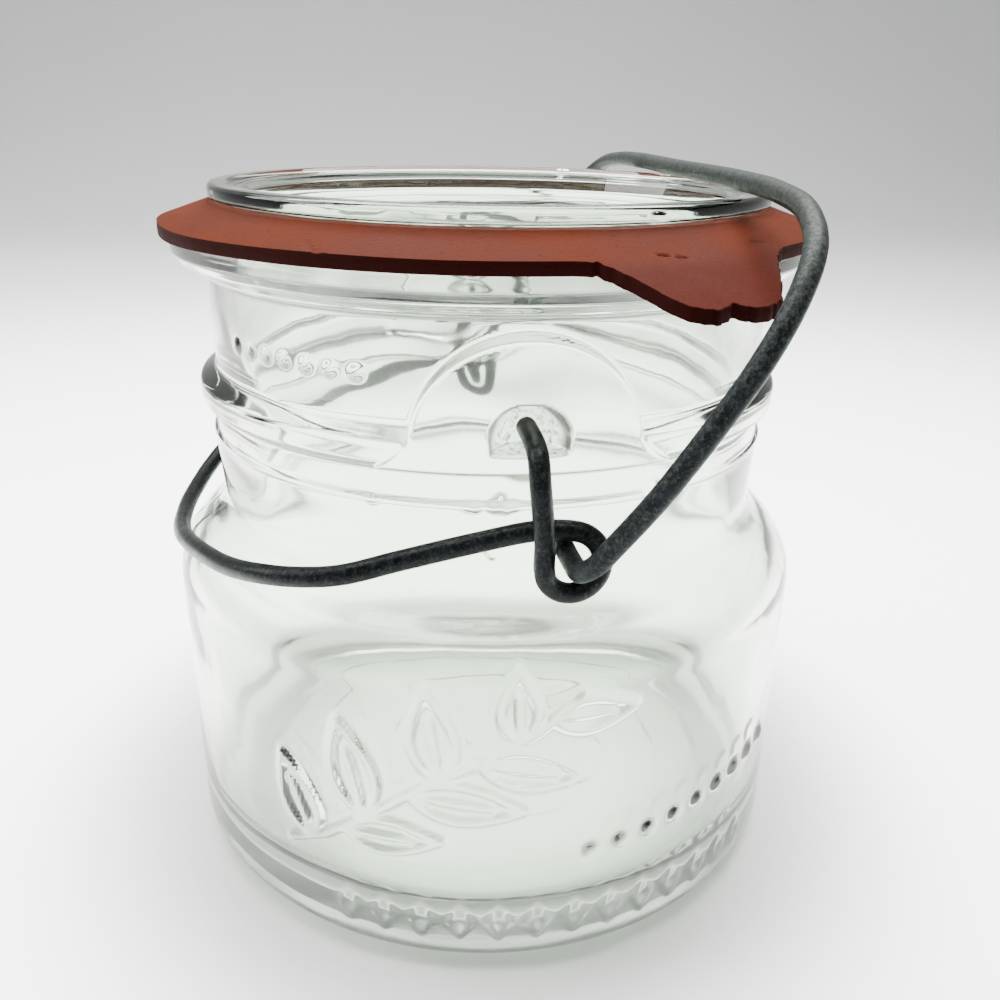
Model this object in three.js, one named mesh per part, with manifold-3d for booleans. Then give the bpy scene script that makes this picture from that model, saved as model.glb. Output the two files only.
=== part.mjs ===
// Wire-bail canning jar with a wide mouth, holding about a pint.
//
// Millimetres, +Z up, with the origin at the middle of the flat base, on the jar's axis.
// The hinge line runs along Y through a dimple in each side of the neck. The lever's bow lies
// to -X, clamped down on the shoulder, and the bail leans to +X over the rim of the lid.
// The lid lies upside down, with its sealing rim up and its boss in the mouth.

import * as THREE from 'three';
import { mergeVertices } from 'three/addons/utils/BufferGeometryUtils.js';
import Module from 'manifold-3d';

const wasm = await Module();
wasm.setup();

// Driving dimensions
const BODY_R = 48.5;
const BODY_TOP = 43.5;
const HEEL_R = 6;
const WALL = 3.2;
const FLOOR = 4.8;
const SHOULDER_R = 9;
const NECK_FILLET = 6;
const NECK_BASE_R = 41;
const NECK_R = 40.5;
const MOUTH_R = 36.6;
const BEAD_R = 42.9;
const BEAD_Z = 72.7;
const LIP_R = 45.25;
const LIP_LOW = 90.9;
const SEAT_Z = 96;

const HINGE_Z = 75.8;
const BOSS_R = 43.3;
const BOSS_HALF_WIDTH = 13.9;
const BOSS_CENTRE_Z = 73.4;
const DIMPLE_HALF_WIDTH = 4.9;
const DIMPLE_SILL_Z = 73.3;
const DIMPLE_FLOOR_Y = 39;

const GAP = 0.35;
const SEAL_THICK = 1.6;
const SEAL_INNER_R = 36.9;
const SEAL_OUTER_R = 46.6;
const SEAL_DROOP = 0.34;

const LID_R = 39.75;
const LID_RIM = 2.1;
const LID_PLUG_R = 35.9;
const LID_RECESS_R = 33.2;
const LID_RECESS = 4.7;
const LID_PLATE = 3.4;

const WIRE_R = 1.3;
const WIRE_END_Y = 39.6;
const LEG_Y = 50.2;
const EYE_X = 4.35;
const EYE_Z = 62.4;
const EYE_R = 3.5;
const BAIL_LEAN = THREE.MathUtils.degToRad(31);
const BAIL_RISE = 46.55;

const TURN = 72;

// Materials
const glass = new THREE.MeshStandardMaterial({
  color: 0xdfe9e3, roughness: 0.05, metalness: 0, transparent: true, opacity: 0.35,
});
const redRubber = new THREE.MeshStandardMaterial({ color: 0x96553f, roughness: 0.75, metalness: 0 });
const darkWire = new THREE.MeshStandardMaterial({ color: 0x22272a, roughness: 0.45, metalness: 0.8 });
const wornWire = new THREE.MeshStandardMaterial({ color: 0x566062, roughness: 0.55, metalness: 0.8 });

// Geometry helpers
function arc(centreX, centreY, radius, fromDeg, toDeg, steps) {
  return Array.from({ length: steps + 1 }, (_, i) => {
    const a = THREE.MathUtils.degToRad(fromDeg + ((toDeg - fromDeg) * i) / steps);
    return new THREE.Vector2(centreX + radius * Math.cos(a), centreY + radius * Math.sin(a));
  });
}

function points(...pairs) {
  return pairs.map(([x, y]) => new THREE.Vector2(x, y));
}

function revolve(profile) {
  return new THREE.LatheGeometry(profile, TURN).rotateX(Math.PI / 2);
}

function toSolid(geometry) {
  const bare = geometry.clone();
  bare.deleteAttribute('normal');
  bare.deleteAttribute('uv');
  const merged = mergeVertices(bare, 1e-4);
  return new wasm.Manifold(new wasm.Mesh({
    numProp: 3,
    vertProperties: new Float32Array(merged.attributes.position.array),
    triVerts: new Uint32Array(merged.index.array),
  }));
}

function toGeometry(solid) {
  const mesh = solid.getMesh();
  const geometry = new THREE.BufferGeometry();
  geometry.setAttribute('position', new THREE.BufferAttribute(mesh.vertProperties, 3));
  geometry.setIndex(new THREE.BufferAttribute(mesh.triVerts, 1));
  geometry.computeVertexNormals();
  return geometry;
}

function namedMesh(name, geometry, material) {
  const mesh = new THREE.Mesh(geometry, material);
  mesh.name = name;
  return mesh;
}

// Height of the ring's underside, which lies flat under the lid and droops outside it
function sealUnderside(radius) {
  return SEAT_Z + GAP - SEAL_DROOP * Math.max(0, radius - LID_R);
}

// Jar: one revolved wall, with a half-disc boss and a dimple on the front and on the back
function jarProfile() {
  const innerShoulder = SHOULDER_R - WALL;
  const innerFillet = NECK_FILLET + WALL;
  const filletX = NECK_BASE_R + NECK_FILLET;
  const filletZ = BODY_TOP + 13;
  const lipEdge = sealUnderside(LIP_R - 0.5) - GAP;
  return [
    ...points([0, 0], [30, 0], [30.6, 0.5], [31.4, 0.5], [32, 0]),
    ...arc(BODY_R - HEEL_R, HEEL_R, HEEL_R, -90, 0, 6),
    ...arc(BODY_R - SHOULDER_R, BODY_TOP, SHOULDER_R, 0, 60, 5),
    ...arc(filletX, filletZ, NECK_FILLET, 230, 180, 3),
    ...points([NECK_BASE_R, BEAD_Z - 2.4]),
    ...points([BEAD_R - 0.5, BEAD_Z - 1.5], [BEAD_R, BEAD_Z], [BEAD_R - 0.5, BEAD_Z + 1.5]),
    ...points([NECK_R + 0.3, BEAD_Z + 2.8], [NECK_R, BEAD_Z + 4], [NECK_R, LIP_LOW - 3]),
    ...points([NECK_R + 0.6, LIP_LOW - 1.5], [LIP_R - 1.4, LIP_LOW - 0.3], [LIP_R, LIP_LOW + 0.8]),
    ...points([LIP_R, lipEdge - 0.8], [LIP_R - 0.5, lipEdge - 0.1], [LID_R, SEAT_Z]),
    ...points([MOUTH_R + 0.8, SEAT_Z], [MOUTH_R, SEAT_Z - 1]),
    ...points([MOUTH_R, 64], [filletX - innerFillet, filletZ]),
    ...arc(BODY_R - SHOULDER_R, BODY_TOP, innerShoulder, 60, 0, 4),
    ...arc(BODY_R - WALL - 9, FLOOR + 9, 9, 0, -80, 5),
    ...points([0, FLOOR - 0.6], [0, 0]),
  ];
}

function bossOutline() {
  const foot = BOSS_CENTRE_Z - 2;
  const shape = new THREE.Shape();
  shape.moveTo(-BOSS_HALF_WIDTH - 4, foot);
  shape.lineTo(BOSS_HALF_WIDTH + 4, foot);
  shape.quadraticCurveTo(BOSS_HALF_WIDTH + 0.4, foot + 1.5, BOSS_HALF_WIDTH - 0.2, BOSS_CENTRE_Z + 2.4);
  shape.absarc(0, BOSS_CENTRE_Z, BOSS_HALF_WIDTH, Math.asin(2.4 / BOSS_HALF_WIDTH), Math.PI * 0.945, false);
  shape.quadraticCurveTo(-BOSS_HALF_WIDTH - 0.4, foot + 1.5, -BOSS_HALF_WIDTH - 4, foot);
  return shape;
}

function dimpleOutline() {
  const spring = DIMPLE_SILL_Z + 1;
  const shape = new THREE.Shape();
  shape.moveTo(-DIMPLE_HALF_WIDTH, DIMPLE_SILL_Z);
  shape.lineTo(DIMPLE_HALF_WIDTH, DIMPLE_SILL_Z);
  shape.absarc(0, spring, DIMPLE_HALF_WIDTH, 0, Math.PI, false);
  return shape;
}

// Pushes an outline drawn in X and Z through the front wall, from one distance off the axis to another
function throughFront(outline, fromY, toY, curveSegments) {
  const options = { depth: toY - fromY, bevelEnabled: false, curveSegments };
  return new THREE.ExtrudeGeometry(outline, options).rotateX(Math.PI / 2).translate(0, -fromY, 0);
}

function makeJar() {
  const skin = toSolid(revolve(points([38, 60], [BOSS_R, 60], [BOSS_R, 90], [38, 90], [38, 60])));
  const boss = toSolid(throughFront(bossOutline(), 34, 46, 8)).intersect(skin);
  const dimple = toSolid(throughFront(dimpleOutline(), DIMPLE_FLOOR_Y, 46, 7));
  const jar = toSolid(revolve(jarProfile()))
    .add(boss)
    .add(boss.rotate([0, 0, 180]))
    .subtract(dimple)
    .subtract(dimple.rotate([0, 0, 180]));
  return namedMesh('glass_jar', toGeometry(jar), glass);
}

// Lid: a pressed disc, upside down, with a recess inside its rim and a shallow boss in the mouth
function makeLid() {
  const rimLow = SEAT_Z + GAP + SEAL_THICK + GAP;
  const rimTop = rimLow + LID_RIM;
  const recess = rimTop - LID_RECESS;
  const plate = recess - LID_PLATE;
  const profile = [
    ...points([0, plate - 0.8], [8, plate - 0.7], [11, plate]),
    ...points([LID_PLUG_R - 3, plate + 0.2], [LID_PLUG_R - 0.8, plate + 1.6], [LID_PLUG_R, plate + 3.6]),
    ...points([LID_PLUG_R, rimLow], [LID_R - 0.5, rimLow], [LID_R, rimLow + 0.5]),
    ...points([LID_R, rimTop - 0.7], [LID_R - 0.6, rimTop], [LID_R - 3.1, rimTop]),
    ...points([LID_R - 3.6, rimTop - 0.5], [LID_RECESS_R + 1.4, rimTop - 0.8]),
    ...points([LID_RECESS_R + 0.3, recess + 1.2], [LID_RECESS_R - 1, recess + 0.2], [0, recess]),
    ...points([0, plate - 0.8]),
  ];
  return namedMesh('glass_lid', revolve(profile), glass);
}

// Pull tab of the sealing ring: degrees round from the front, and the radius of the edge there
const TAB_EDGE = [
  [3, SEAL_OUTER_R], [8.4, 48.8], [10.7, 51.1], [13.2, 55.4], [14.5, 56.2], [17, 56.8], [18.1, 56.4],
  [19.7, 55.6], [20.6, 56.5], [22, 57.1], [25.2, 56.5], [28, 54.2], [31, 51.8], [36, 48.2], [41, SEAL_OUTER_R],
];

function sealEdge(degrees) {
  const next = TAB_EDGE.findIndex(([at]) => at >= degrees);
  if (next < 1) return SEAL_OUTER_R;
  const [a, ra] = TAB_EDGE[next - 1];
  const [b, rb] = TAB_EDGE[next];
  return ra + ((rb - ra) * (degrees - a)) / (b - a);
}

function makeSeal() {
  const step = 360 / TURN;
  const regular = Array.from({ length: TURN }, (_, i) => i * step);
  const first = TAB_EDGE[0][0];
  const last = TAB_EDGE[TAB_EDGE.length - 1][0];
  const stations = regular.filter((a) => a < first - 1 || a > last + 1)
    .concat(TAB_EDGE.map(([a]) => a))
    .sort((a, b) => a - b);
  const position = [];
  for (const degrees of stations) {
    const edge = sealEdge(degrees);
    const section = [[SEAL_INNER_R, 0], [LID_R, 0], [edge, 0], [edge, 1], [LID_R, 1], [SEAL_INNER_R, 1]];
    const a = THREE.MathUtils.degToRad(degrees);
    for (const [r, top] of section) {
      position.push(r * Math.sin(a), -r * Math.cos(a), sealUnderside(r) + top * SEAL_THICK);
    }
  }
  const sides = 6;
  const index = [];
  for (let i = 0; i < stations.length; i += 1) {
    const here = i * sides;
    const there = ((i + 1) % stations.length) * sides;
    for (let k = 0; k < sides; k += 1) {
      const next = (k + 1) % sides;
      index.push(here + k, there + k, there + next, here + k, there + next, here + next);
    }
  }
  const geometry = new THREE.BufferGeometry();
  geometry.setAttribute('position', new THREE.Float32BufferAttribute(position, 3));
  geometry.setIndex(index);
  geometry.computeVertexNormals();
  return namedMesh('rubber_seal', geometry, redRubber);
}

// Wires: the front half of each route is given, and the back half mirrors it across Y = 0
function bentWire(name, frontHalf, steps, material) {
  const backHalf = frontHalf.slice(0, -1).reverse().map((p) => new THREE.Vector3(p.x, -p.y, p.z));
  const path = new THREE.CatmullRomCurve3([...frontHalf, ...backHalf], false, 'centripetal');
  const section = new THREE.Shape().absarc(0, 0, WIRE_R, 0, 2 * Math.PI, false);
  const options = { steps, extrudePath: path, curveSegments: 5, bevelEnabled: false };
  return namedMesh(name, new THREE.ExtrudeGeometry(section, options), material);
}

function route(...triples) {
  return triples.map(([x, y, z]) => new THREE.Vector3(x, y, z));
}

// One turn of the lever wire that makes the eye, from its left side down and round to its top
function eyeTurn() {
  const startY = -LEG_Y - 0.1;
  const endY = -LEG_Y + 2.5;
  return arc(EYE_X, EYE_Z, EYE_R, 180, 450, 9).map((p, i) => (
    new THREE.Vector3(p.x, THREE.MathUtils.lerp(startY, endY, i / 9), p.y)
  ));
}

function makeLever() {
  const legX = EYE_X - EYE_R;
  const frontHalf = [
    ...route([0, -WIRE_END_Y, HINGE_Z], [0, -LEG_Y + 3.6, HINGE_Z], [0, -LEG_Y + 1, HINGE_Z - 0.8]),
    ...route([0.1, -LEG_Y, HINGE_Z - 3.2], [0.5, -LEG_Y, HINGE_Z - 7], [legX, -LEG_Y, HINGE_Z - 10.5]),
    ...eyeTurn(),
    ...route([0.4, -47.2, 65.8], [-6, -46.6, 64.4], [-15.2, -46.4, 62.3], [-22, -46, 60.6]),
    ...route([-27.6, -43.9, 59.6], [-31.6, -41, 58.8], [-35.4, -36.6, 57.6], [-39.2, -30.3, 56.3]),
    ...route([-43.9, -20, 54.3], [-45.9, -13, 53], [-46.9, -6, 52.2], [-47.2, 0, 52]),
  ];
  return bentWire('lever_wire', frontHalf, 150, darkWire);
}

// A point of the bail, by its distance from the middle plane and its rise from the eyes along the lean
function onBail(halfSpan, rise) {
  const x = EYE_X + rise * Math.sin(BAIL_LEAN);
  return new THREE.Vector3(x, -halfSpan, EYE_Z + rise * Math.cos(BAIL_LEAN));
}

function makeBail() {
  const frontHalf = [
    ...route([2.6, -44.5, 65.4], [3.4, -44.9, 63.9], [4.1, -46.6, 62.6], [EYE_X, -49.2, EYE_Z]),
    onBail(51.8, 0.3),
    onBail(54.2, 2.4),
    onBail(55.8, 6.6),
    onBail(57.8, 13.6),
    onBail(58.9, 22.4),
    onBail(59.1, 29.8),
    onBail(57.7, 36),
    onBail(54.2, 41.4),
    onBail(47.6, 44.7),
    onBail(38, 46.1),
    onBail(26, BAIL_RISE),
    onBail(0, BAIL_RISE),
  ];
  return bentWire('bail_wire', frontHalf, 120, wornWire);
}

const jar = new THREE.Group();
jar.add(makeJar(), makeLid(), makeSeal(), makeLever(), makeBail());
export default jar;
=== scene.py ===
import math

import bpy
import numpy as np
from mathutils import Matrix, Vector


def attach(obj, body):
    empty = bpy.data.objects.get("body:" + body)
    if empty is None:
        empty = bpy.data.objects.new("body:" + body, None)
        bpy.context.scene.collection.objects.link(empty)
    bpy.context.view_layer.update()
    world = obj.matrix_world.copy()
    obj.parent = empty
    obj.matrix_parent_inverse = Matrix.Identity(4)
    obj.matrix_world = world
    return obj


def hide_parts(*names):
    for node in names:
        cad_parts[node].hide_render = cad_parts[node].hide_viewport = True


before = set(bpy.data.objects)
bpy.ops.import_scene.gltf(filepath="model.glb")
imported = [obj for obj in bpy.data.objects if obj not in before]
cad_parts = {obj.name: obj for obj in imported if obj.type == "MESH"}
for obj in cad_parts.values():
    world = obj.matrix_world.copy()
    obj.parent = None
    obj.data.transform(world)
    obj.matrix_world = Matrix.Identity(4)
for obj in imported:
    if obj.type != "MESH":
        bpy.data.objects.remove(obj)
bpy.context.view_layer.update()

# ---------------------------------------------------------------------------------------------
# Jar. A pint canning jar of clear soda-lime glass, formed in a two-part iron mould, so it has
# faint seams, a slightly wavy wall and raised decoration. It stands on its heel, and the half-disc
# bosses on the front and back of its neck hold the ends of the lever wire in their dimples.
MM = 0.001
BODY_R = 48.4
NECK_R = 40.5
MOUTH_R = 36.6
BOSS_R = 43.3
BOSS_HALF_WIDTH = 13.9
BOSS_CENTRE_Z = 73.4
DIMPLE_HALF_WIDTH = 4.9
DIMPLE_SILL_Z = 73.3
DIMPLE_DEPTH = 4.3
POCKET_REACH_Z = 74.4
PARTING_Z = 66.5
EMBOSS_HEIGHT = 0.6
FAINT_EMBOSS = 0.4
NECK_BEAD_HEIGHT = 0.3
GLASS_IOR = 1.52


def rounded(corners):
    """Turns (across, up, radius) corners into a line of points with its corners rounded."""
    line = [np.array(corners[0][:2], float)]
    for before, here, after in zip(corners, corners[1:], corners[2:]):
        corner = np.array(here[:2], float)
        to_before = np.array(before[:2], float) - corner
        to_after = np.array(after[:2], float) - corner
        to_before /= np.linalg.norm(to_before)
        to_after /= np.linalg.norm(to_after)
        opening = math.acos(np.clip(to_before @ to_after, -1, 1))
        turn = math.pi - opening
        radius = here[2]
        if radius == 0 or turn < 0.02:
            line.append(corner)
            continue
        reach = radius * math.tan(turn / 2)
        bisector = (to_before + to_after) / np.linalg.norm(to_before + to_after)
        centre = corner + bisector * radius / math.cos(turn / 2)
        first = corner + to_before * reach - centre
        last = corner + to_after * reach - centre
        steps = max(3, int(turn * 5 + radius * turn * 1.5))
        for step in range(steps + 1):
            share = step / steps
            blend = (math.sin((1 - share) * turn) * first + math.sin(share * turn) * last)
            line.append(centre + blend / math.sin(turn))
    line.append(np.array(corners[-1][:2], float))
    return np.array(line)


def spaced(line, spacing):
    """Adds points to a line so that none are further apart than spacing(across, up)."""
    out = [line[0]]
    for start, end in zip(line, line[1:]):
        middle = (start + end) / 2
        length = np.linalg.norm(end - start)
        if length < 1e-6:
            continue
        count = max(1, int(math.ceil(length / spacing(middle[0], middle[1]))))
        out += [start + (end - start) * k / count for k in range(1, count + 1)]
    return np.array(out)


def smooth(low, high, value):
    """0 below low, 1 above high, and an S-shaped rise between them."""
    share = np.clip((value - low) / (high - low), 0, 1)
    return share * share * (3 - 2 * share)


def ripple(angle, up, reach, seed):
    """Slow uneven waves of glass that ran and set, between about -1 and 1."""
    total = 0
    for wave in range(1, 7):
        around = (wave * 2 + seed) % 11 + wave
        along = (0.7 + 0.45 * ((wave * 3 + seed) % 5)) / reach
        total = total + np.sin(around * angle + along * up + 1.7 * wave * seed) / (1 + 0.4 * wave)
    return total / 2.6


def turned_mesh(name, angles, radius, height):
    """Closed skin from grids of radius and height, one row for each profile point."""
    rows, columns = radius.shape
    x = radius[1:-1] * np.sin(angles)
    y = -radius[1:-1] * np.cos(angles)
    verts = np.stack([x, y, height[1:-1]], -1).reshape(-1, 3)
    ends = [[0, 0, height[0, 0]], [0, 0, height[-1, 0]]]
    verts = np.concatenate([verts, ends]) * MM
    first_pole = (rows - 2) * columns
    faces = []
    for row in range(rows - 3):
        here = row * columns
        above = here + columns
        for column in range(columns):
            beside = (column + 1) % columns
            faces.append((here + column, here + beside, above + beside, above + column))
    top = (rows - 3) * columns
    for column in range(columns):
        beside = (column + 1) % columns
        faces.append((beside, column, first_pole))
        faces.append((top + column, top + beside, first_pole + 1))
    mesh = bpy.data.meshes.new(name)
    mesh.from_pydata(verts.tolist(), [], faces)
    mesh.validate()
    mesh.shade_smooth()
    piece = bpy.data.objects.new(name, mesh)
    bpy.context.scene.collection.objects.link(piece)
    return piece


def leaf(across, up, lean, length, width):
    """Outline and midrib of one leaf, in millimetres round and up the jar."""
    lean = math.radians(lean)
    along = np.array([math.cos(lean), math.sin(lean)])
    aside = np.array([-along[1], along[0]])
    root = np.array([across, up])
    share = np.linspace(0, 1, 13)[:, None]
    bulge = width / 2 * np.sin(math.pi * share ** 0.8)
    one_side = root + along * length * share + aside * bulge
    other_side = root + along * length * share - aside * bulge
    midrib = root + along * length * (0.08 + 0.62 * share)
    return [one_side, other_side, midrib]


def lozenge(across, up, width, height):
    """Outline of an upright diamond, in millimetres round and up the jar."""
    tips = [(width / 2, 0), (0, height / 2), (-width / 2, 0), (0, -height / 2), (width / 2, 0)]
    return [np.array([(across + a, up + b) for a, b in tips])]


def raised_by(strokes, across, up, width):
    """How far a moulded line of the given width stands up at each point, from 0 to 1."""
    nearest = np.full(across.shape, 1e9)
    for line in strokes:
        for (ax, ay), (bx, by) in zip(line, line[1:]):
            length = (bx - ax) ** 2 + (by - ay) ** 2 + 1e-9
            share = np.clip(((across - ax) * (bx - ax) + (up - ay) * (by - ay)) / length, 0, 1)
            gap = np.hypot(across - ax - share * (bx - ax), up - ay - share * (by - ay))
            nearest = np.minimum(nearest, gap)
    return 1 - smooth(width * 0.15, width * 0.6, nearest)


jar_outside = [
    (0, 1.4, 0), (20, 1.2, 0), (30.2, 0.9, 2), (30.8, 1.0, 0.6), (31.4, 0.8, 2), (37.5, 0.5, 2),
    (40, 0, 1.5), (BODY_R, 0, 6), (BODY_R, 48.6, 8.9), (41, 53.7, 6), (41, 70.4, 0.8),
    (42.9, 71.2, 1.1), (42.9, 74.2, 1.1), (NECK_R, 75.7, 1.2), (NECK_R, 88.7, 0.9),
    (42.3, 89.4, 0.4), (42.7, 90.2, 0.3), (44.5, 90.8, 0.5), (45.2, 91.9, 0.8), (45.2, 94.2, 0.5),
    (39.75, 96, 1.6), (38.3, 96, 0),
]
jar_inside = [
    (38.3, 96, 0), (MOUTH_R, 96, 0.9), (MOUTH_R, 64, 20), (37.8, 52, 9), (45.2, 47, 5.7),
    (45.3, 4.8, 9), (0, 4.2, 0),
]


def jar_spacing(across, up):
    """Rows stand closest on the neck and lip, where the fine detail is."""
    if up < 1:
        return 1.2
    if up < 44:
        return 0.5
    if up < 60:
        return 0.8
    return 0.3 if up < 89 else 0.4


outside = spaced(rounded(jar_outside), jar_spacing)
inside = spaced(rounded(jar_inside), lambda across, up: 1.5)[1:]
profile = np.concatenate([outside, inside])
degrees = np.concatenate([
    np.arange(-7, 7, 0.25), np.arange(7, 26, 0.4), np.arange(26, 62, 0.6), np.arange(62, 89, 1.5),
    [89, 89.6, 90, 90.4, 91], np.arange(92, 154, 1.5), np.arange(154, 173, 0.5),
    np.arange(173, 187, 0.3), np.arange(187, 206, 0.5), np.arange(206, 268.5, 1.5),
    [269, 269.6, 270, 270.4, 271], np.arange(272, 298, 1.5), np.arange(298, 334, 0.6),
    np.arange(334, 353, 0.4),
])
angles = np.radians(degrees)
radius = np.repeat(profile[:, :1], len(angles), 1)
height = np.repeat(profile[:, 1:], len(angles), 1)
turn = np.repeat(angles[None], len(profile), 0)
is_outside = (np.arange(len(profile)) < len(outside))[:, None] & (radius > 0)
wall = smooth(3, 9, height) * smooth(10, 30, radius)

# The sprig, the row of beads and the row of lozenges moulded on the front of the body
stem = np.array([(-33, 17), (-27, 20), (-20, 25.5), (-13, 31), (-6, 35), (1, 39), (7, 44)], float)
sprig = [stem]
sprig += leaf(-29, 19, 112, 12.5, 5.6)
sprig += leaf(-24, 22, 2, 13, 5)
sprig += leaf(-21, 25, 104, 14, 6)
sprig += leaf(-15, 29.5, -8, 15, 5.6)
sprig += leaf(-11, 32, 98, 13, 5.8)
sprig += leaf(-6, 35, -12, 14, 5.4)
sprig += leaf(-1, 38, 92, 9.5, 4.6)
sprig += leaf(3, 41, 2, 11, 4.4)
around = np.where(turn > math.pi, turn - 2 * math.pi, turn)
on_front = is_outside & (np.abs(around) < 1.06) & (height > 5) & (height < 50)
relief = np.zeros_like(radius)
relief[on_front] = raised_by(sprig, around[on_front] * BODY_R, height[on_front], 1.6)
beads = [np.array([(9 + 4.4 * step, 19.5 + 0.5 * step)] * 2) for step in range(9)]
bead_relief = raised_by(beads, around[on_front] * BODY_R, height[on_front], 2.9)
relief[on_front] = np.maximum(relief[on_front], bead_relief)
band = []
for step in range(13):
    band += lozenge(-24 + 5.2 * step, 9.2, 2.8, 4.2)
band_relief = raised_by(band, around[on_front] * BODY_R, height[on_front], 1.5)
relief[on_front] = np.maximum(relief[on_front], FAINT_EMBOSS * band_relief)
radius = radius + EMBOSS_HEIGHT * relief

# Seven small round beads in a level row on the left of the neck
neck_beads = [np.array([(-42 + 3.6 * step, 81.4)] * 2) for step in range(7)]
on_neck = is_outside & (np.abs(around + 0.78) < 0.4) & (height > 76) & (height < 88)
relief = np.zeros_like(radius)
relief[on_neck] = raised_by(neck_beads, around[on_neck] * NECK_R, height[on_neck], 2.2)
radius = radius + NECK_BEAD_HEIGHT * relief

# Bosses with flared feet, then the arched pocket scooped into each for the end of the wire
sideways = np.abs(radius * np.sin(turn))
flare = 4.2 * np.clip((76 - height) / 5, 0, 1) ** 2
half_disc = np.where(
    height > BOSS_CENTRE_Z + 0.6,
    BOSS_HALF_WIDTH + flare - np.hypot(sideways, height - BOSS_CENTRE_Z),
    BOSS_HALF_WIDTH + flare - sideways,
)
boss = smooth(0, 0.9, half_disc) * smooth(70.2, 71.3, height) * is_outside * (height < 88.5)
radius = np.where(boss > 0, np.maximum(radius, radius + (BOSS_R - radius) * boss), radius)
arch_z = DIMPLE_SILL_Z + 1
into_arch = np.where(
    height > arch_z,
    DIMPLE_HALF_WIDTH - np.hypot(sideways, height - arch_z),
    DIMPLE_HALF_WIDTH - sideways,
)
into_arch = np.minimum(into_arch, height - DIMPLE_SILL_Z) * is_outside - 5.0 * ~is_outside
scoop = 1 - np.clip(sideways / DIMPLE_HALF_WIDTH, 0, 1) ** 2.4
radius = radius - DIMPLE_DEPTH * scoop * smooth(-0.12, 0.5, into_arch)

# Seams of the mould, drips of glass along the parting line, and the uneven wall
seam = np.exp(-((height - PARTING_Z) / 0.35) ** 2) * 0.25
side_seam = np.exp(-((np.abs(around) - math.pi / 2) * BODY_R / 0.35) ** 2) * 0.09
side_seam = side_seam * (height < PARTING_Z) * (height > 2)
ledge = 0.45 * (1 - smooth(66.3, 66.9, height)) * smooth(58, 66, height)
radius = radius + is_outside * (seam + side_seam + ledge)
drips = [
    (-9.5, 66.7, 1.1, 0.4), (-8.1, 66.3, 0.5, 0.4), (-5.6, 66.5, 0.6, 0.5), (-4.2, 66.9, 1.0, 0.8),
    (-3.1, 66.3, 0.5, 0.6), (-1.8, 66.5, 0.5, 0.5), (22.4, 66.7, 0.5, 0.5), (23.6, 67.0, 0.8, 0.8),
    (24.8, 66.6, 0.5, 0.5), (26.4, 66.7, 0.4, 0.4), (-26, 66.6, 1.0, 0.3), (148, 66.5, 0.8, 0.5),
    (-131, 66.7, 0.9, 0.5), (-6.6, 61.6, 0.5, 0.5), (-6.1, 60.7, 0.6, 0.6), (-5.5, 59.9, 0.5, 0.5),
]
for around_deg, up, size, stand in drips:
    away = np.hypot((around - math.radians(around_deg)) * 41, height - up)
    radius = radius + is_outside * stand * np.exp(-(away / size) ** 2)
radius = radius + 0.05 * wall * is_outside * (ripple(turn, height, 9, 3) - 1)
radius = radius + 0.22 * wall * ~is_outside * ripple(turn, height, 11, 5)
in_neck = smooth(60, 68, height) * (1 - smooth(90, 94, height)) * ~is_outside * (radius > 30)
radius = radius + 0.2 * in_neck * ripple(turn, height, 5, 9)

# The ring-shaped scar left on the underside where the shears cut the glass
off_centre = np.hypot(radius * np.sin(turn) - 2.5, -radius * np.cos(turn) + 1.5)
scar = np.exp(-((off_centre - 19 - 0.5 * np.sin(5 * turn)) / 0.5) ** 2)
height = height + 0.25 * scar * (height < 1.6) * (radius < 30) * is_outside
inner_floor = ~is_outside * (1 - smooth(5, 9, height)) * smooth(0, 8, radius)
height = height + 0.3 * inner_floor * ripple(turn, radius, 9, 2)
underside = is_outside * (1 - smooth(1.5, 2.5, height))
underside = underside * smooth(0, 8, radius) * (1 - smooth(32, 38, radius))
height = height + 0.1 * underside * ripple(turn, radius, 8, 8)
height[0] = height[0].mean()

jar = turned_mesh("jar_glass", angles, radius, height)


def linear(colour):
    """Linear RGBA from an sRGB hex colour."""
    parts = [int(colour[k:k + 2], 16) / 255 for k in (1, 3, 5)]
    parts = [p / 12.92 if p <= 0.04045 else ((p + 0.055) / 1.055) ** 2.4 for p in parts]
    return (*parts, 1.0)


def add(tree, kind, settings, feeds):
    """Adds a node, sets its settings, and gives each input a value or a link."""
    made = tree.nodes.new(kind)
    for name, value in settings.items():
        setattr(made, name, value)
    for name, value in feeds.items():
        if isinstance(value, bpy.types.NodeSocket):
            tree.links.new(value, made.inputs[name])
        else:
            made.inputs[name].default_value = value
    return made


def new_material(name):
    """An empty material, its node tree, and a place that stays fixed to the piece."""
    material = bpy.data.materials.new(name)
    material.use_nodes = True
    material.node_tree.nodes.clear()
    tree = material.node_tree
    place = add(tree, "ShaderNodeTexCoord", {}, {}).outputs["Object"]
    return material, tree, place


def shade(tree, inputs):
    """Ends a material in one surface shader with the given inputs."""
    surface = add(tree, "ShaderNodeBsdfPrincipled", {}, inputs)
    add(tree, "ShaderNodeOutputMaterial", {}, {"Surface": surface.outputs[0]})


# Soda-lime glass: clear with a trace of green, glossy, with slow waves left by the mould
glass, tree, place = new_material("soda_lime_glass")
waves = add(tree, "ShaderNodeTexNoise", {}, {"Vector": place, "Scale": 1 / (14 * MM), "Detail": 2.0})
orange_peel = add(tree, "ShaderNodeTexNoise", {}, {
    "Vector": place, "Scale": 1 / (2.2 * MM), "Detail": 2.0})
soft_bump = add(tree, "ShaderNodeBump", {}, {
    "Strength": 0.5, "Distance": 0.25 * MM, "Height": waves.outputs[0]})
fine_bump = add(tree, "ShaderNodeBump", {}, {
    "Strength": 0.25, "Distance": 0.02 * MM, "Height": orange_peel.outputs[0],
    "Normal": soft_bump.outputs[0]})
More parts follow.
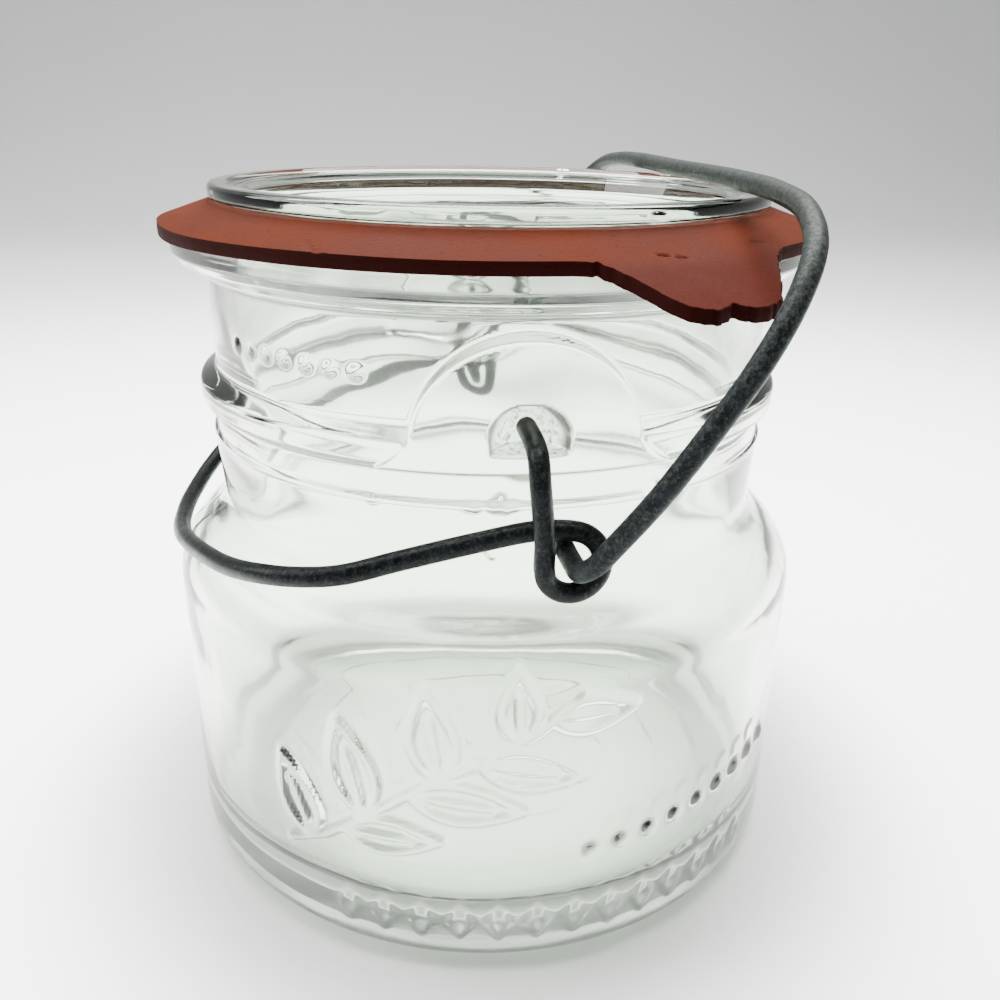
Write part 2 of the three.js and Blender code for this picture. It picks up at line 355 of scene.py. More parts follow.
# Grime lies where the wire ends rub in the pockets: close to the hinge line and above its sill. A painted
# shadow darkens the edge of each pocket's arch.
axes = add(tree, "ShaderNodeSeparateXYZ", {}, {"Vector": place})
from_wire = add(tree, "ShaderNodeVectorMath", {"operation": "MULTIPLY"}, {
    0: place, 1: (1, 0, 1)})
from_wire = add(tree, "ShaderNodeVectorMath", {"operation": "DISTANCE"}, {
    0: from_wire.outputs[0], 1: (0, 0, POCKET_REACH_Z * MM)})
deep = add(tree, "ShaderNodeMath", {"operation": "ABSOLUTE"}, {0: axes.outputs["Y"]})
in_pocket = add(tree, "ShaderNodeMapRange", {"interpolation_type": "SMOOTHSTEP"}, {
    "Value": from_wire.outputs["Value"], "From Min": 5.5 * MM, "From Max": 4.8 * MM})
below_face = add(tree, "ShaderNodeMapRange", {"interpolation_type": "SMOOTHSTEP"}, {
    "Value": deep.outputs[0], "From Min": 43.1 * MM, "From Max": 42.4 * MM})
outer_skin = add(tree, "ShaderNodeMapRange", {"interpolation_type": "SMOOTHSTEP"}, {
    "Value": deep.outputs[0], "From Min": 37.8 * MM, "From Max": 38.4 * MM})
pocket = add(tree, "ShaderNodeMath", {"operation": "MULTIPLY"}, {
    0: in_pocket.outputs[0], 1: below_face.outputs[0]})
pocket = add(tree, "ShaderNodeMath", {"operation": "MULTIPLY"}, {
    0: pocket.outputs[0], 1: outer_skin.outputs[0]})
specks = add(tree, "ShaderNodeTexNoise", {}, {
    "Vector": place, "Scale": 1 / (0.7 * MM), "Detail": 5.0, "Roughness": 0.7})
specks_and_shadow = add(tree, "ShaderNodeMapRange", {}, {
    "Value": specks.outputs[0], "From Min": 0.46, "From Max": 0.62})
# Painted shadow: a dark band along the arch of each pocket, from 3.6 mm out from the hinge line to the
# pocket's edge
arch_shadow = add(tree, "ShaderNodeMapRange", {"interpolation_type": "SMOOTHSTEP"}, {
    "Value": from_wire.outputs["Value"], "From Min": 3.6 * MM, "From Max": 4.5 * MM})
specks_and_shadow = add(tree, "ShaderNodeMath", {"operation": "MAXIMUM"}, {
    0: specks_and_shadow.outputs[0], 1: arch_shadow.outputs[0]})
dirt_and_shadow = add(tree, "ShaderNodeMath", {"operation": "MULTIPLY"}, {
    0: pocket.outputs[0], 1: specks_and_shadow.outputs[0]})
# Grime specks and the painted shadow along the arch both darken the glass towards #4a4840
tint = add(tree, "ShaderNodeMix", {"data_type": "RGBA"}, {
    0: dirt_and_shadow.outputs[0], 6: linear("#eff6ed"), 7: linear("#4a4840")})
# Haze: light smudges, a duller heel and base, and a faint film on the inner skin
smudges = add(tree, "ShaderNodeTexNoise", {}, {"Vector": place, "Scale": 1 / (22 * MM), "Detail": 4.0})
haze = add(tree, "ShaderNodeMapRange", {}, {
    "Value": smudges.outputs[0], "From Min": 0.5, "From Max": 0.8, "To Max": 0.05})
base_haze = add(tree, "ShaderNodeMapRange", {"interpolation_type": "SMOOTHSTEP"}, {
    "Value": axes.outputs["Z"], "From Min": 9 * MM, "From Max": 3.5 * MM, "To Max": 0.12})
haze = add(tree, "ShaderNodeMath", {"operation": "ADD"}, {0: haze.outputs[0], 1: base_haze.outputs[0]})
level_place = add(tree, "ShaderNodeVectorMath", {"operation": "MULTIPLY"}, {0: place, 1: (1, 1, 0)})
from_middle = add(tree, "ShaderNodeVectorMath", {"operation": "LENGTH"}, {0: level_place.outputs[0]})
wall_middle = add(tree, "ShaderNodeMapRange", {}, {
    "Value": axes.outputs["Z"], "From Min": 44 * MM, "From Max": 60 * MM,
    "To Min": 46.9 * MM, "To Max": 38.6 * MM})
inward = add(tree, "ShaderNodeMath", {"operation": "LESS_THAN"}, {
    0: from_middle.outputs["Value"], 1: wall_middle.outputs[0]})
haze = add(tree, "ShaderNodeMath", {"operation": "MULTIPLY_ADD"}, {
    0: inward.outputs[0], 1: 0.06, 2: haze.outputs[0]})
frost = add(tree, "ShaderNodeMath", {"operation": "MULTIPLY_ADD"}, {
    0: pocket.outputs[0], 1: 0.35, 2: haze.outputs[0]})
shade(tree, {
    "Base Color": tint.outputs[2], "Roughness": frost.outputs[0], "IOR": GLASS_IOR,
    "Transmission Weight": 1.0, "Normal": fine_bump.outputs[0]})
jar.data.materials.append(glass)
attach(jar, "jar")
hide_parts("glass_jar")

# ---------------------------------------------------------------------------------------------
# Sealing ring. Flat terracotta rubber, punched from sheet with a tab to pull it off by. It lies
# flat under the lid and droops over the rim outside it, and nothing but the lid holds it down.
SEAT_Z = 96.35
SEAL_THICK = 1.6
SEAL_INNER_R = 36.9
SEAL_OUTER_R = 46.6
SEAL_DROOP = 0.34
TAB_SAG = 0.018
TAB_END_R = 56.85
LID_R = 39.75

seal_degrees = np.concatenate([np.arange(-2, 45, 0.3), np.arange(45, 358, 0.9)])
seal_angles = np.radians(seal_degrees)
tab_edge = np.array([
    (-1, 46.6), (4.5, 46.6), (7.2, 46.8), (8.8, 48.1), (10.9, 50.6), (13.3, 54.6), (14.6, 55.9),
    (17, 56.7), (18.1, 56.4), (19.7, 55.6), (20.6, 56.4), (22, 56.9), (23.8, 56.8), (25.2, 56.3),
    (26.3, 55.9), (28, 54.2), (29.3, 53.3), (31, 51.8), (33.5, 49.8), (36, 48.2), (38.6, 47.1),
    (41, 46.6), (44, 46.6),
])
edge_r = np.interp(seal_degrees, tab_edge[:, 0], tab_edge[:, 1])
tab_share = smooth(4, 8, seal_degrees) * (1 - smooth(38, 43, seal_degrees))
torn = np.sin(seal_degrees * 4.1) * 0.09 + np.sin(seal_degrees * 9.7 + 1) * 0.07
edge_r = edge_r + tab_share * torn - 0.12 * (1 + ripple(seal_angles, 0, 9, 2)) * (1 - tab_share)
edge_r = edge_r - 0.35 * np.exp(-((seal_degrees - 7.4) / 0.3) ** 2)
edge_r = np.minimum(edge_r, np.where(tab_share > 0, TAB_END_R, SEAL_OUTER_R))

TOP_ROWS = 76
CORNER = 0.12
shares = np.linspace(0, 1, TOP_ROWS)
inner_r = SEAL_INNER_R + 0.05 * np.sin(5 * seal_angles)
ring_rows = []
for share in shares:
    ring_rows.append((inner_r + (edge_r - inner_r) * share, SEAL_THICK))
for depth in (CORNER, 0.5, 0.8, 1.1, SEAL_THICK - CORNER):
    swell = 0.06 * math.sin(math.pi * depth / SEAL_THICK)
    ring_rows.append((edge_r + swell - 0.02, SEAL_THICK - depth))
for share in shares[::-3]:
    ring_rows.append((inner_r + (edge_r - inner_r) * share, 0.0))
for up in (CORNER, 0.8, SEAL_THICK - CORNER):
    ring_rows.append((inner_r - 0.02, up))
ring_r = np.array([row[0] for row in ring_rows])
ring_up = np.array([np.full(len(seal_angles), row[1]) for row in ring_rows])
on_top = ring_up > SEAL_THICK - 0.01
ring_turn = np.repeat(seal_angles[None], len(ring_r), 0)
ring_deg = np.repeat(seal_degrees[None], len(ring_r), 0)

# Two slits end to end in the tab, a short cut in the ring, and the rubber's uneven top
hollow = np.zeros_like(ring_r)
for middle_deg, middle_r, half_long, half_wide, depth in (
    (17.5, 45.7, 1.0, 0.35, 0.7), (19.9, 46.4, 0.95, 0.32, 0.65), (37.4, 44.9, 1.8, 0.6, 0.12),
):
    long_way = (ring_deg - middle_deg) * math.radians(1) * middle_r
    short_way = ring_r - middle_r - 0.15 * long_way
    lens = 1 - np.hypot(long_way / half_long, short_way / half_wide)
    hollow = hollow + depth * smooth(0, 0.5, lens)
cut_line = np.array([(-33.1, 43.9), (-29.4, 46.7)])
cut_x = np.radians(cut_line[:, 0]) * 45
along = np.array([cut_x[1] - cut_x[0], cut_line[1, 1] - cut_line[0, 1]])
signed_deg = np.where(ring_deg > 180, ring_deg - 360, ring_deg)
offset = np.stack([np.radians(signed_deg) * 45 - cut_x[0], ring_r - cut_line[0, 1]], -1)
cut_share = np.clip(offset @ along / (along @ along), 0, 1)
from_cut = np.linalg.norm(offset - cut_share[..., None] * along, axis=-1)
hollow = hollow + 0.2 * (1 - smooth(0.06, 0.3, from_cut))
droop = SEAL_DROOP * np.maximum(0, ring_r - LID_R)
droop = droop + TAB_SAG * tab_share * np.maximum(0, ring_r - 48)
uneven = 0.05 * (ripple(ring_turn, ring_r, 2.5, 4) - 1) * smooth(LID_R, LID_R + 2, ring_r)
ring_z = SEAT_Z + ring_up - droop + (uneven - hollow) * on_top

columns = len(seal_angles)
rows = len(ring_r)
verts = np.stack([ring_r * np.sin(seal_angles), -ring_r * np.cos(seal_angles), ring_z], -1)
faces = []
for row in range(rows):
    here = row * columns
    above = (row + 1) % rows * columns
    for column in range(columns):
        beside = (column + 1) % columns
        faces.append((here + column, above + column, above + beside, here + beside))
mesh = bpy.data.meshes.new("rubber_ring")
mesh.from_pydata((verts.reshape(-1, 3) * MM).tolist(), [], faces)
mesh.validate()
mesh.shade_smooth()
ring = bpy.data.objects.new("rubber_ring", mesh)
bpy.context.scene.collection.objects.link(ring)

# Moulded natural rubber: matt terracotta with a dusty bloom, and a darker maroon on its cut sides, partly
# the cut rubber's own colour and partly painted shade on the faces that stand upright
rubber, tree, place = new_material("terracotta_rubber")
# Painted shade and the cut rubber's own colour: faces that stand upright are darkened, mostly at the outer
# edge
facing = add(tree, "ShaderNodeSeparateXYZ", {}, {
    "Vector": add(tree, "ShaderNodeTexCoord", {}, {}).outputs["Normal"]})
upright = add(tree, "ShaderNodeMath", {"operation": "ABSOLUTE"}, {0: facing.outputs["Z"]})
cut_side_and_shade = add(tree, "ShaderNodeMapRange", {"interpolation_type": "SMOOTHSTEP"}, {
    "Value": upright.outputs[0], "From Min": 0.75, "From Max": 0.35})
flat_place = add(tree, "ShaderNodeVectorMath", {"operation": "MULTIPLY"}, {0: place, 1: (1, 1, 0)})
from_middle = add(tree, "ShaderNodeVectorMath", {"operation": "LENGTH"}, {0: flat_place.outputs[0]})
outer_edge = add(tree, "ShaderNodeMapRange", {}, {
    "Value": from_middle.outputs["Value"], "From Min": 38 * MM, "From Max": 44 * MM, "To Min": 0.1})
cut_side_and_shade = add(tree, "ShaderNodeMath", {"operation": "MULTIPLY"}, {
    0: cut_side_and_shade.outputs[0], 1: outer_edge.outputs[0]})
bloom = add(tree, "ShaderNodeTexNoise", {}, {
    "Vector": place, "Scale": 1 / (9 * MM), "Detail": 5.0, "Roughness": 0.6})
bloom_mask = add(tree, "ShaderNodeMapRange", {}, {
    "Value": bloom.outputs[0], "From Min": 0.35, "From Max": 0.7})
grain = add(tree, "ShaderNodeTexNoise", {}, {"Vector": place, "Scale": 1 / (0.45 * MM), "Detail": 4.0})
body_tone = add(tree, "ShaderNodeMix", {"data_type": "RGBA"}, {
    0: bloom_mask.outputs[0], 6: linear("#481d11"), 7: linear("#542414")})
# Darker further out, over the tab, from 45.5 to 50 mm from the middle
further_out = add(tree, "ShaderNodeMapRange", {"interpolation_type": "SMOOTHSTEP"}, {
    "Value": from_middle.outputs["Value"], "From Min": 45.5 * MM, "From Max": 50 * MM})
tab_tone = add(tree, "ShaderNodeMix", {"data_type": "RGBA"}, {
    0: further_out.outputs[0], 6: body_tone.outputs[2], 7: linear("#43180e")})
speckle = add(tree, "ShaderNodeMapRange", {}, {
    "Value": grain.outputs[0], "From Min": 0.6, "From Max": 0.72, "To Max": 0.6})
specked = add(tree, "ShaderNodeMix", {"data_type": "RGBA"}, {
    0: speckle.outputs[0], 6: tab_tone.outputs[2], 7: linear("#2c120d")})
# The cut sides turn dark maroon, partly as painted shade
edge_tone = add(tree, "ShaderNodeMix", {"data_type": "RGBA"}, {
    0: cut_side_and_shade.outputs[0], 6: specked.outputs[2], 7: linear("#210402")})
grain_bump = add(tree, "ShaderNodeBump", {}, {
    "Strength": 0.7, "Distance": 0.09 * MM, "Height": grain.outputs[0]})
rubber_rough = add(tree, "ShaderNodeMapRange", {}, {
    "Value": bloom.outputs[0], "From Min": 0.3, "From Max": 0.7, "To Min": 0.55, "To Max": 0.78})
shade(tree, {
    "Base Color": edge_tone.outputs[2], "Roughness": rubber_rough.outputs[0],
    "Specular IOR Level": 0.04, "Normal": grain_bump.outputs[0]})
ring.data.materials.append(rubber)
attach(ring, "seal")
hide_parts("rubber_seal")

# ---------------------------------------------------------------------------------------------
# Lid. A pressed disc of the same clear glass, laid upside down with its thick rim upward, so its
# stepped rim clamps the rubber and the thick plate sits down in the mouth of the jar.
lid_corners = [
    (0, 91.55, 0), (7.6, 91.6, 1.2), (10.6, 92.35, 1.5), (33.2, 92.5, 2.6), (35.85, 95.6, 1.6),
    (35.85, 98.3, 0.3), (39.7, 98.3, 0.6), (39.7, 100.35, 0.75), (37.3, 100.4, 0.4), (36.7, 99.75, 0.3),
    (34.9, 99.6, 0.5), (33.5, 95.75, 1.4), (28, 95.7, 0), (0, 95.7, 0),
]


def lid_spacing(across, up):
    """Rows stand closest on the rim and the side of the plug."""
    return 0.35 if across > 33 else 1.2


lid_line = spaced(rounded(lid_corners), lid_spacing)
lid_angles = np.radians(np.arange(0, 360, 0.75))
lid_r = np.repeat(lid_line[:, :1], len(lid_angles), 1)
lid_z = np.repeat(lid_line[:, 1:], len(lid_angles), 1)
lid_turn = np.repeat(lid_angles[None], len(lid_line), 0)
plate = smooth(33.5, 31, lid_r) * smooth(2, 12, lid_r)
lid_z = lid_z + 0.1 * plate * ripple(lid_turn, lid_r, 8, 1) * (lid_z > 94)
lid_z = lid_z + 0.08 * plate * ripple(lid_turn, lid_r, 7, 6) * (lid_z < 94)
lid_r = lid_r + 0.04 * (ripple(lid_turn, lid_z, 5, 7) - 1) * smooth(34, 36, lid_r)
# Small shell-shaped chips on the outer edge of the rim: two close together at the front, one on
# the left and one at the back
CHIP_Z = 98.9
lid_around = np.where(lid_turn > math.pi, lid_turn - 2 * math.pi, lid_turn)
for chip_deg, chip_size, chip_depth in (
    (21.6, 0.9, 0.28), (23.4, 0.45, 0.2), (-71, 0.9, 0.25), (154, 1.1, 0.3),
):
    away = np.hypot((lid_around - math.radians(chip_deg)) * LID_R, lid_z - CHIP_Z)
    lid_r = lid_r - chip_depth * (1 - smooth(0.4 * chip_size, chip_size, away)) * (lid_r > 38.5)
lid = turned_mesh("lid_glass", lid_angles, lid_r, lid_z)

# Pressed soda-lime glass: the same clear glass, with slow press ripples and dull scuffed patches
pressed, tree, place = new_material("pressed_lid_glass")
press_waves = add(tree, "ShaderNodeTexNoise", {}, {"Vector": place, "Scale": 1 / (10 * MM), "Detail": 2.0})
press_bump = add(tree, "ShaderNodeBump", {}, {
    "Strength": 0.4, "Distance": 0.2 * MM, "Height": press_waves.outputs[0]})
scuffs = add(tree, "ShaderNodeTexNoise", {}, {
    "Vector": place, "Scale": 1 / (6 * MM), "Detail": 6.0, "Roughness": 0.7})
scuff_rough = add(tree, "ShaderNodeMapRange", {}, {
    "Value": scuffs.outputs[0], "From Min": 0.55, "From Max": 0.8, "To Max": 0.1})
shade(tree, {
    "Base Color": linear("#eff6ed"), "Roughness": scuff_rough.outputs[0], "IOR": GLASS_IOR,
    "Transmission Weight": 1.0, "Normal": press_bump.outputs[0]})
lid.data.materials.append(pressed)
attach(lid, "lid")
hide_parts("glass_lid")

# ---------------------------------------------------------------------------------------------
# Lever. One length of 2.6 mm steel wire bent to shape: each end turns into a pocket of the neck,
# each leg ends in an eye, and the bow between them lies clamped down against the shoulder.
# Its skin is drawn 0.055 mm inside the true radius, so that its bumps stay inside the real wire.
WIRE_R = 1.3
SKIN_INSET = 0.055
DENT_DEPTH = 0.018
WIRE_SIDES = 24
WIRE_STEP = 0.5
CROPPED_END = 0.84
END_SHOULDER = 0.22
LEG_Y = 50.2
EYE_X = 4.35
EYE_Z = 62.4
EYE_R = 3.5


def through(points, step):
    """Points a step apart along a smooth curve through the given bends of a wire."""
    bends = [np.array(p, float) for p in points]
    bends = [2 * bends[0] - bends[1]] + bends + [2 * bends[-1] - bends[-2]]
    route = []
    for p0, p1, p2, p3 in zip(bends, bends[1:], bends[2:], bends[3:]):
        t0 = 0.0
        t1 = t0 + math.sqrt(np.linalg.norm(p1 - p0))
        t2 = t1 + math.sqrt(np.linalg.norm(p2 - p1))
        t3 = t2 + math.sqrt(np.linalg.norm(p3 - p2))
        count = max(2, int(math.ceil(np.linalg.norm(p2 - p1) / step)))
        for k in range(count):
            t = t1 + (t2 - t1) * k / count
            a1 = (t1 - t) / (t1 - t0) * p0 + (t - t0) / (t1 - t0) * p1
            a2 = (t2 - t) / (t2 - t1) * p1 + (t - t1) / (t2 - t1) * p2
            a3 = (t3 - t) / (t3 - t2) * p2 + (t - t2) / (t3 - t2) * p3
            b1 = (t2 - t) / (t2 - t0) * a1 + (t - t0) / (t2 - t0) * a2
            b2 = (t3 - t) / (t3 - t1) * a2 + (t - t1) / (t3 - t1) * a3
            route.append((t2 - t) / (t2 - t1) * b1 + (t - t1) / (t2 - t1) * b2)
    route.append(bends[-2])
    return route


def drawn_wire(name, route, seed):
    """Round wire along a route, with blunt cropped ends and small dents in its skin."""
    sides = WIRE_SIDES
    points = [Vector(p) for p in route]
    tangents = []
    for k in range(len(points)):
        ahead = points[min(k + 1, len(points) - 1)]
        behind = points[max(k - 1, 0)]
        tangents.append((ahead - behind).normalized())
    across = tangents[0].orthogonal().normalized()
    rings = []
    travelled = 0.0
    for k, (point, tangent) in enumerate(zip(points, tangents)):
        across = (across - tangent * across.dot(tangent)).normalized()
        other = tangent.cross(across)
        if k:
            travelled += (point - points[k - 1]).length
        ring_points = []
        for side in range(sides):
            a = 2 * math.pi * side / sides
            dent = ripple(np.array(a), np.array(travelled), 3.5, seed) - 1
            girth = WIRE_R - SKIN_INSET + DENT_DEPTH * float(dent)
            ring_points.append(point + (across * math.cos(a) + other * math.sin(a)) * girth)
        rings.append(ring_points)
    for which, tangent in ((0, tangents[0]), (-1, -tangents[-1])):
        whole = rings[which]
        middle = points[which]
        rings[which] = [middle + (p - middle) * CROPPED_END for p in whole]
        shoulder = [p + tangent * END_SHOULDER for p in whole]
        if which == 0:
            rings.insert(1, shoulder)
        else:
            rings.insert(len(rings) - 1, shoulder)
    verts = [p for ring_points in rings for p in ring_points]
    verts += [points[0], points[-1]]
    faces = []
    for k in range(len(rings) - 1):
        for side in range(sides):
            beside = (side + 1) % sides
            faces.append((
                k * sides + side, k * sides + beside, (k + 1) * sides + beside, (k + 1) * sides + side))
    last = (len(rings) - 1) * sides
    for side in range(sides):
        beside = (side + 1) % sides
        faces.append((beside, side, len(verts) - 2))
        faces.append((last + side, last + beside, len(verts) - 1))
    mesh = bpy.data.meshes.new(name)
    mesh.from_pydata([tuple(v * MM) for v in verts], [], faces)
    mesh.validate()
    mesh.shade_smooth()
    piece = bpy.data.objects.new(name, mesh)
    bpy.context.scene.collection.objects.link(piece)
    return piece


lever_half = [
    (0, -39.6, 75.8), (0, -46.6, 75.8), (0, -49.2, 75), (0.1, -LEG_Y, 72.6), (0.5, -LEG_Y, 68.8),
    (0.85, -LEG_Y, 65.3),
]
for step in range(10):
    a = math.radians(180 + 30 * step)
    lever_half.append((
        EYE_X + EYE_R * math.cos(a), -50.3 + 2.6 * step / 9, EYE_Z + EYE_R * math.sin(a)))
lever_half += [
    (0.4, -47.2, 65.8), (-6, -46.6, 64.4), (-15.2, -46.4, 62.3), (-22, -46, 60.6), (-27.6, -43.9, 59.6),
    (-31.6, -41, 58.8), (-35.4, -36.6, 57.6), (-39.2, -30.3, 56.3), (-43.9, -20, 54.3), (-45.9, -13, 53),
    (-46.9, -6, 52.2),
]
lever_bends = lever_half + [(-47.2, 0, 52)] + [(x, -y, z) for x, y, z in lever_half[::-1]]
lever = drawn_wire("lever_wire_bent", through(lever_bends, WIRE_STEP), 4)


def wire_material(name, dark, mid, pale, pale_from, metallic, rough_low, rough_high):
    """Old steel wire: blotched, painted paler on its upper side as top light and, by pale_from, worn paler
    higher up.

    pale_from is the heights in mm between which it is worn paler, how much, and how much painted top light
    pales its upper side.
    Its pits are finer than would show, so they are drawn 0.4 mm across.
    """
    material, tree, place = new_material(name)
    blotch = add(tree, "ShaderNodeTexNoise", {}, {
        "Vector": place, "Scale": 1 / (1.5 * MM), "Detail": 8.0, "Roughness": 0.75})
    blotch_mask = add(tree, "ShaderNodeMapRange", {}, {
        "Value": blotch.outputs[0], "From Min": 0.42, "From Max": 0.66})
    skin = add(tree, "ShaderNodeMix", {"data_type": "RGBA"}, {
        0: blotch_mask.outputs[0], 6: linear(dark), 7: linear(mid)})
    wear = add(tree, "ShaderNodeTexNoise", {}, {
        "Vector": place, "Scale": 1 / (0.5 * MM), "Detail": 5.0, "Roughness": 0.8})
    height_up = add(tree, "ShaderNodeSeparateXYZ", {}, {"Vector": place})
    high_part = add(tree, "ShaderNodeMapRange", {"interpolation_type": "SMOOTHSTEP"}, {
        "Value": height_up.outputs["Z"], "From Min": pale_from[0] * MM, "From Max": pale_from[1] * MM,
        "To Max": pale_from[2]})
    facing = add(tree, "ShaderNodeSeparateXYZ", {}, {
        "Vector": add(tree, "ShaderNodeTexCoord", {}, {}).outputs["Normal"]})
    # Painted top light: faces that look upward are painted paler, by the last entry of pale_from
    painted_top_light = add(tree, "ShaderNodeMapRange", {"interpolation_type": "SMOOTHSTEP"}, {
        "Value": facing.outputs["Z"], "From Min": -0.2, "From Max": 0.9, "To Max": pale_from[3]})
    wear_and_top_light = add(tree, "ShaderNodeMath", {"operation": "ADD"}, {
        0: wear.outputs[0], 1: high_part.outputs[0]})
    wear_and_top_light = add(tree, "ShaderNodeMath", {"operation": "ADD"}, {
        0: wear_and_top_light.outputs[0], 1: painted_top_light.outputs[0]})
    wear_and_top_light_mask = add(tree, "ShaderNodeMapRange", {}, {
        "Value": wear_and_top_light.outputs[0], "From Min": 0.5, "From Max": 0.98, "To Max": 0.95})
    colour = add(tree, "ShaderNodeMix", {"data_type": "RGBA"}, {
        0: wear_and_top_light_mask.outputs[0], 6: skin.outputs[2], 7: linear(pale)})
    grit = add(tree, "ShaderNodeTexNoise", {}, {"Vector": place, "Scale": 1 / (0.4 * MM), "Detail": 3.0})
    bump = add(tree, "ShaderNodeBump", {}, {
        "Strength": 0.35, "Distance": 0.04 * MM, "Height": grit.outputs[0]})
    rough = add(tree, "ShaderNodeMapRange", {}, {
        "Value": blotch.outputs[0], "From Min": 0.35, "From Max": 0.7,
        "To Min": rough_low, "To Max": rough_high})
    shade(tree, {
        "Base Color": colour.outputs[2], "Metallic": metallic, "Roughness": rough.outputs[0],
        "Specular IOR Level": 0.1, "Normal": bump.outputs[0]})
    return material


# Blackened steel: nearly black with a satin shine, scuffed grey in small spots, and a faint painted top
# light on its upper side
lever.data.materials.append(wire_material(
    "blackened_steel", "#0a0d0f", "#171c1d", "#474a47", (60, 90, 0.0, 0.05), 0.35, 0.28, 0.48))
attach(lever, "lever")
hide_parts("lever_wire")

# ---------------------------------------------------------------------------------------------
# Bail. A second length of the same wire, hooked through the lever's eyes and arched over the lid.
# Its plating has gone: dull mottled grey below, worn pale where it has been handled high up, and painted
# paler on its upper side as top light.
BAIL_LEAN = math.radians(31)
BAIL_RISE = 46.55


def on_bail(half_span, rise):
    """A point of the bail, by its distance from the middle plane and its rise along the lean."""
    return (EYE_X + rise * math.sin(BAIL_LEAN), -half_span, EYE_Z + rise * math.cos(BAIL_LEAN))


bail_half = [(2.6, -44.5, 65.4), (3.4, -44.9, 63.9), (4.1, -46.6, 62.6), (EYE_X, -49.2, EYE_Z)]
bail_half += [on_bail(*place_on) for place_on in (
    (51.8, 0.3), (54.2, 2.4), (55.8, 6.6), (57.8, 13.6), (58.9, 22.4), (59.1, 29.8), (57.7, 36),
    (54.2, 41.4), (47.6, 44.7), (38, 46.1), (26, BAIL_RISE),
)]
bail_bends = bail_half + [on_bail(0, BAIL_RISE)] + [(x, -y, z) for x, y, z in bail_half[::-1]]
bail = drawn_wire("bail_wire_bent", through(bail_bends, WIRE_STEP), 7)

# Weathered galvanised steel: blue-grey and mottled, with pale dry patches on the upper bend, and a painted
# top light that pales its upper side
bail.data.materials.append(wire_material(
    "weathered_steel", "#0c1013", "#1d2326", "#565a54", (84, 103, 0.13, 0.07), 0.3, 0.38, 0.62))
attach(bail, "bail")
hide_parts("bail_wire")

# ---------------------------------------------------------------------------------------------
# Floor and backdrop. One sheet of white paper, flat under the jar and sweeping up well behind it,
# in metres. It is lit from within around the jar, like paper on a light table, and it lies a hair
# below the jar's base so that the two surfaces don't coincide.
SWEEP_START = 0.75
SWEEP_R = 0.7
SWEEP_TOP = 2.4
PAPER_DROP = 0.05 * MM
sheet_line = [(-7.0, 0.0), (-3.0, 0.0), (-1.2, 0.0)]
sheet_line += [(y, 0.0) for y in np.linspace(-0.6, SWEEP_START, 28)]
for step in range(1, 25):
    a = math.radians(90 * step / 24)
    sheet_line.append((SWEEP_START + SWEEP_R * math.sin(a), SWEEP_R * (1 - math.cos(a))))
sheet_line.append((SWEEP_START + SWEEP_R, SWEEP_TOP))
across_line = np.concatenate([[-7, -4], np.linspace(-2, 2, 41), [4, 7]])
sheet_verts = [(x, y, z - PAPER_DROP) for y, z in sheet_line for x in across_line]
sheet_faces = []
for row in range(len(sheet_line) - 1):
    for column in range(len(across_line) - 1):
        first = row * len(across_line) + column
        sheet_faces.append((first, first + 1, first + len(across_line) + 1, first + len(across_line)))
mesh = bpy.data.meshes.new("paper_sweep")
mesh.from_pydata(sheet_verts, [], sheet_faces)
mesh.shade_smooth()
sweep = bpy.data.objects.new("paper_sweep", mesh)
bpy.context.scene.collection.objects.link(sweep)

# Matt white paper: almost even, with a faint tooth. Its glow fades out 0.62 m from the middle of
# the jar's base, and is dimmed in front and, as a soft contact shadow, in a ring round the base.
GLOW_STRENGTH = 3.6
paper, tree, place = new_material("white_paper")
tooth = add(tree, "ShaderNodeTexNoise", {}, {"Vector": place, "Scale": 1 / (3 * MM), "Detail": 3.0})
cloud = add(tree, "ShaderNodeTexNoise", {}, {"Vector": place, "Scale": 1 / (160 * MM), "Detail": 2.0})
paper_tone = add(tree, "ShaderNodeMix", {"data_type": "RGBA"}, {
    0: cloud.outputs[0], 6: linear("#f0f2ef"), 7: linear("#f5f6f3")})
paper_bump = add(tree, "ShaderNodeBump", {}, {
    "Strength": 0.15, "Distance": 0.05 * MM, "Height": tooth.outputs[0]})
from_jar = add(tree, "ShaderNodeVectorMath", {"operation": "LENGTH"}, {0: place})
glow = add(tree, "ShaderNodeMapRange", {"interpolation_type": "SMOOTHERSTEP"}, {
    "Value": from_jar.outputs["Value"], "From Min": 0.62, "From Max": 0.07,
    "To Max": GLOW_STRENGTH})
beside_jar = add(tree, "ShaderNodeMapRange", {"interpolation_type": "SMOOTHSTEP"}, {
    "Value": from_jar.outputs["Value"], "From Min": 0.05, "From Max": 0.086})
under_jar = add(tree, "ShaderNodeMapRange", {"interpolation_type": "SMOOTHSTEP"}, {
    "Value": from_jar.outputs["Value"], "From Min": 0.047, "From Max": 0.022, "To Max": 0.85})
shaded = add(tree, "ShaderNodeMath", {"operation": "ADD"}, {
    0: beside_jar.outputs[0], 1: under_jar.outputs[0]})
glow = add(tree, "ShaderNodeMath", {"operation": "MULTIPLY"}, {0: glow.outputs[0], 1: shaded.outputs[0]})
axes = add(tree, "ShaderNodeSeparateXYZ", {}, {"Vector": place})
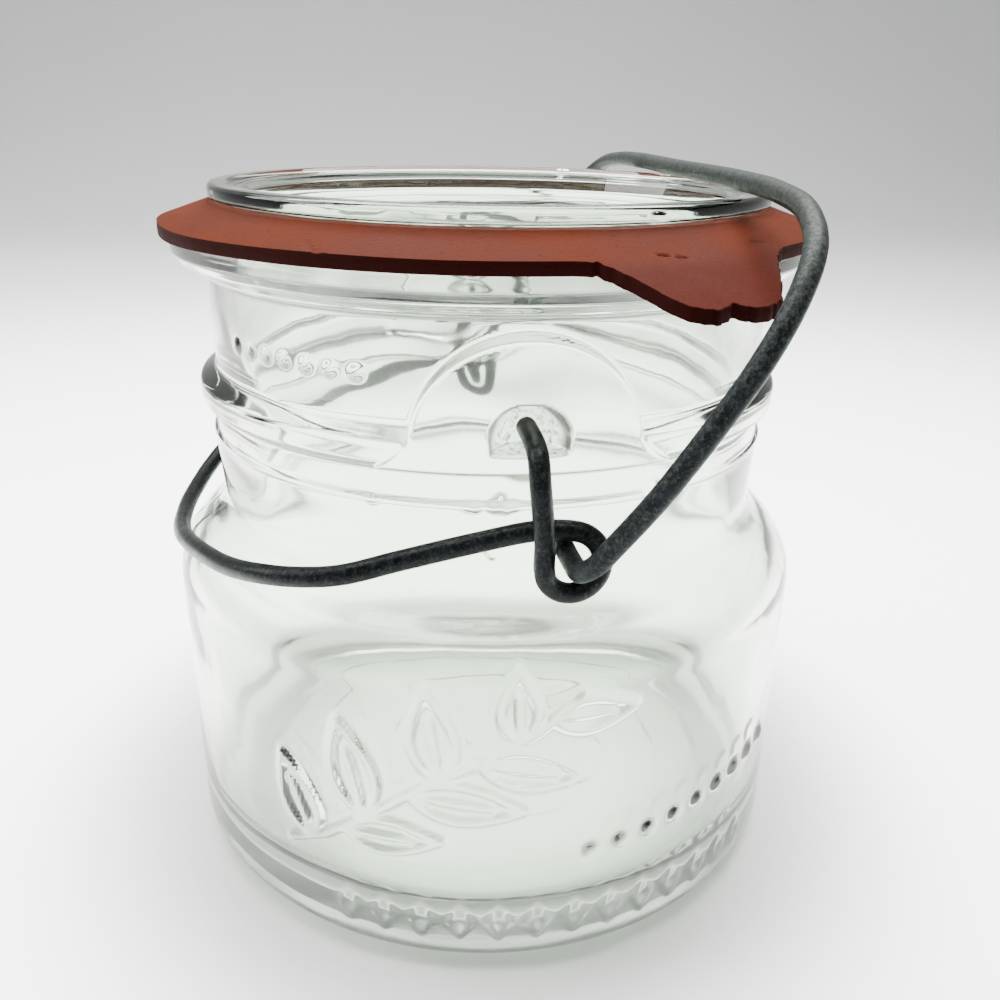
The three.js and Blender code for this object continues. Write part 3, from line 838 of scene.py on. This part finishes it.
in_front = add(tree, "ShaderNodeMapRange", {"interpolation_type": "SMOOTHSTEP"}, {
    "Value": axes.outputs["Y"], "From Min": -0.17, "From Max": -0.03, "To Min": 0.05})
glow = add(tree, "ShaderNodeMath", {"operation": "MULTIPLY"}, {0: glow.outputs[0], 1: in_front.outputs[0]})
shade(tree, {
    "Base Color": paper_tone.outputs[2], "Roughness": 0.75, "Specular IOR Level": 0.2,
    "Emission Color": linear("#f3f9f4"), "Emission Strength": glow.outputs[0],
    "Normal": paper_bump.outputs[0]})
sweep.data.materials.append(paper)

# ---------------------------------------------------------------------------------------------
# Light. A wide soft source overhead and a weaker one at the left, in a dim room that the glass
# picks up as grey in its rims and folds. The glowing paper adds the rest from below.


def soft_light(name, place_at, aim_at, width, depth, power):
    """A rectangular lamp, aimed at a point. Sizes are in metres and power is in watts."""
    data = bpy.data.lights.new(name, "AREA")
    data.shape = "RECTANGLE"
    data.size = width
    data.size_y = depth
    data.energy = power
    lamp = bpy.data.objects.new(name, data)
    lamp.location = place_at
    lamp.rotation_euler = (Vector(aim_at) - Vector(place_at)).to_track_quat("-Z", "Y").to_euler()
    bpy.context.scene.collection.objects.link(lamp)


soft_light("overhead", (0.02, 0.14, 0.62), (0, 0.06, 0), 0.62, 0.62, 16)
soft_light("left_side", (-0.7, 0.1, 0.5), (0, 0, 0.06), 0.5, 0.5, 6)
room = bpy.data.worlds.new("room")
room.use_nodes = True
room.node_tree.nodes["Background"].inputs["Color"].default_value = linear("#e9edee")
room.node_tree.nodes["Background"].inputs["Strength"].default_value = 0.5
bpy.context.scene.world = room

# ---------------------------------------------------------------------------------------------
# Camera. Just above the rim and close to the front, looking down past the left of the hinge.
lens = bpy.data.cameras.new("camera")
lens.lens = 34.67
lens.sensor_width = 36
lens.clip_start = 0.01
camera = bpy.data.objects.new("camera", lens)
camera.location = (-0.01659, -0.14561, 0.10996)
camera.rotation_euler = (math.radians(67.92), math.radians(-0.95), math.radians(-6.97))
bpy.context.scene.collection.objects.link(camera)
bpy.context.scene.camera = camera
